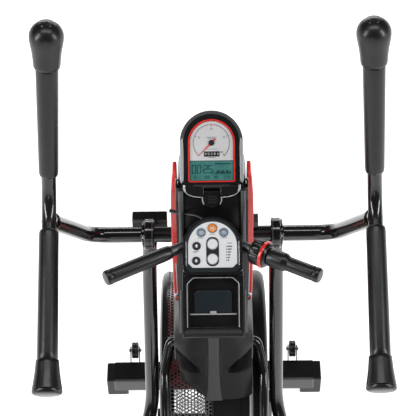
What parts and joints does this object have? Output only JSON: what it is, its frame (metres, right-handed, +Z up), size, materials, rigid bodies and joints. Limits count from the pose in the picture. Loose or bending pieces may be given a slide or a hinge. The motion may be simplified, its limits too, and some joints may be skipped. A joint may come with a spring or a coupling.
{
  "type": "standing fan cross-trainer",
  "caption": "Standing stepper-elliptical with a fan drum, swinging handlebars, static grips, an arched console, a button panel with phone tray, and foot pedals.",
  "frame": {"origin": "centre of the footprint on the floor", "axes": "+Y away from the user, towards the fan drum; +X to the user's right; +Z up"},
  "size_m": [0.7798, 1.245, 1.6759],
  "materials": {
    "black_paint": "gloss black powder coat",
    "black_plastic": "fine-textured moulded black",
    "foam_rubber": "soft matte black grip",
    "red_plastic": "gloss red",
    "bright_steel": "polished",
    "mesh_metal": "silver perforated",
    "white_plastic": "white satin",
    "orange_plastic": "orange satin",
    "blue_grey_plastic": "blue-grey satin",
    "lcd_glass": "teal LCD behind clear cover",
    "belt_rubber": "matte ribbed"
  },
  "bodies": {
    "frame": {"front_stabiliser": "black_paint", "rear_stabiliser": "black_paint", "base_rail": "black_paint", "mast_tube": "black_paint", "pivot_axle": "black_paint", "hoop_tube_left": "black_paint", "hoop_tube_right": "black_paint", "front_cap_left": "black_plastic", "front_cap_right": "black_plastic", "rear_cap_left": "black_plastic", "rear_cap_right": "black_plastic", "fan_cage": "mesh_metal", "belt_cover": "black_plastic", "mast_rear_cover": "black_plastic", "mast_front_cover": "black_plastic", "red_trim_left": "red_plastic", "red_trim_right": "red_plastic", "panel_housing": "black_plastic", "panel_plate": "white_plastic", "grip_bar": "bright_steel", "static_grip_left": "foam_rubber", "static_grip_right": "foam_rubber", "console_housing": "black_plastic", "red_surround": "red_plastic", "dial_plate": "white_plastic", "lcd_window": "lcd_glass", "drive_belt": "belt_rubber"},
    "crank": {"crank_axle": "bright_steel", "crank_arm_left": "black_paint", "crank_arm_right": "black_paint", "drive_pulley": "black_plastic"},
    "fan": {"fan_wheel": "red_plastic", "fan_axle": "bright_steel"},
    "needle": {"dial_needle": "red_plastic"},
    "dial": {"resistance_dial": "black_plastic"},
    "arm_left": {"clamp_block_left": "black_plastic", "rocker_arm_left": "black_paint", "handlebar_left": "black_paint", "upper_grip_left": "foam_rubber", "top_knob_left": "foam_rubber", "lower_grip_left": "foam_rubber"},
    "leg_left_body": {"leg_left": "black_paint", "pedal_left": "black_plastic"},
    "wheel_left": {"transport_wheel_left": "black_plastic"},
    "arm_right": {"rocker_arm_right": "black_paint", "handlebar_right": "black_paint", "upper_grip_right": "foam_rubber", "top_knob_right": "foam_rubber", "lower_grip_right": "foam_rubber"},
    "leg_right_body": {"leg_right": "black_paint", "pedal_right": "black_plastic"},
    "wheel_right": {"transport_wheel_right": "black_plastic"},
    "start_button_body": {"start_button": "orange_plastic"},
    "left_function_button_body": {"left_function_button": "blue_grey_plastic"},
    "right_function_button_body": {"right_function_button": "blue_grey_plastic"},
    "upper_select_button_body": {"upper_select_button": "white_plastic"},
    "lower_select_button_body": {"lower_select_button": "white_plastic"},
    "up_button_body": {"up_button": "black_plastic"},
    "down_button_body": {"down_button": "black_plastic"}
  },
  "joints": [
    {"name": "crank_spin", "type": "hinge", "parent": "frame", "child": "crank", "pos_m": [0, 0.23, 0.31], "axis": [1, 0, 0], "continuous": true},
    {"name": "fan_spin", "type": "hinge", "parent": "frame", "child": "fan", "pos_m": [0, 0.4, 0.46], "axis": [1, 0, 0], "continuous": true},
    {"name": "right_arm_swing", "type": "hinge", "parent": "frame", "child": "arm_right", "pos_m": [0, 0.3, 1.02], "axis": [1, 0, 0], "range_deg": [-8, 8]},
    {"name": "left_arm_swing", "type": "hinge", "parent": "frame", "child": "arm_left", "pos_m": [0, 0.3, 1.02], "axis": [1, 0, 0], "range_deg": [-8, 8]},
    {"name": "right_leg_pitch", "type": "hinge", "parent": "arm_right", "child": "leg_right_body", "pos_m": [0.166, -0.02, 0.31], "axis": [1, 0, 0], "range_deg": [-43.5, 0]},
    {"name": "left_leg_pitch", "type": "hinge", "parent": "arm_left", "child": "leg_left_body", "pos_m": [-0.166, -0.02, 0.31], "axis": [1, 0, 0], "range_deg": [0, 43.5]},
    {"name": "needle_turn", "type": "hinge", "parent": "frame", "child": "needle", "pos_m": [0, 0.34735, 1.28884], "axis": [0, -0.6428, 0.766], "range_deg": [-270, 0]},
    {"name": "resistance_dial_turn", "type": "hinge", "parent": "frame", "child": "dial", "pos_m": [0.10687, 0.12171, 1.17027], "axis": [0.8522, -0.5144, 0.0958], "range_deg": [-135, 135]},
    {"name": "left_wheel_spin", "type": "hinge", "parent": "frame", "child": "wheel_left", "pos_m": [-0.236, 0.598, 0.098], "axis": [1, 0, 0], "continuous": true},
    {"name": "right_wheel_spin", "type": "hinge", "parent": "frame", "child": "wheel_right", "pos_m": [0.236, 0.598, 0.098], "axis": [1, 0, 0], "continuous": true},
    {"name": "start_press", "type": "slide", "parent": "frame", "child": "start_button_body", "axis": [0, 0.5, -0.866], "range_m": [0, 0.0015], "stiffness_N_per_m": 800, "springref_m": -0.0008},
    {"name": "left_function_press", "type": "slide", "parent": "frame", "child": "left_function_button_body", "axis": [0, 0.5, -0.866], "range_m": [0, 0.0015], "stiffness_N_per_m": 800, "springref_m": -0.0008},
    {"name": "right_function_press", "type": "slide", "parent": "frame", "child": "right_function_button_body", "axis": [0, 0.5, -0.866], "range_m": [0, 0.0015], "stiffness_N_per_m": 800, "springref_m": -0.0008},
    {"name": "upper_select_press", "type": "slide", "parent": "frame", "child": "upper_select_button_body", "axis": [0, 0.5, -0.866], "range_m": [0, 0.0015], "stiffness_N_per_m": 800, "springref_m": -0.0008},
    {"name": "lower_select_press", "type": "slide", "parent": "frame", "child": "lower_select_button_body", "axis": [0, 0.5, -0.866], "range_m": [0, 0.0015], "stiffness_N_per_m": 800, "springref_m": -0.0008},
    {"name": "up_press", "type": "slide", "parent": "frame", "child": "up_button_body", "axis": [0, 0.5, -0.866], "range_m": [0, 0.0015], "stiffness_N_per_m": 800, "springref_m": -0.0008},
    {"name": "down_press", "type": "slide", "parent": "frame", "child": "down_button_body", "axis": [0, 0.5, -0.866], "range_m": [0, 0.0015], "stiffness_N_per_m": 800, "springref_m": -0.0008}
  ],
  "couplings": [
    {"joint": "fan_spin", "follows": "crank_spin", "ratio": 4.2857},
    {"joint": "left_arm_swing", "follows": "right_arm_swing", "ratio": -1},
    {"joint": "left_leg_pitch", "follows": "right_leg_pitch", "ratio": -1}
  ]
}
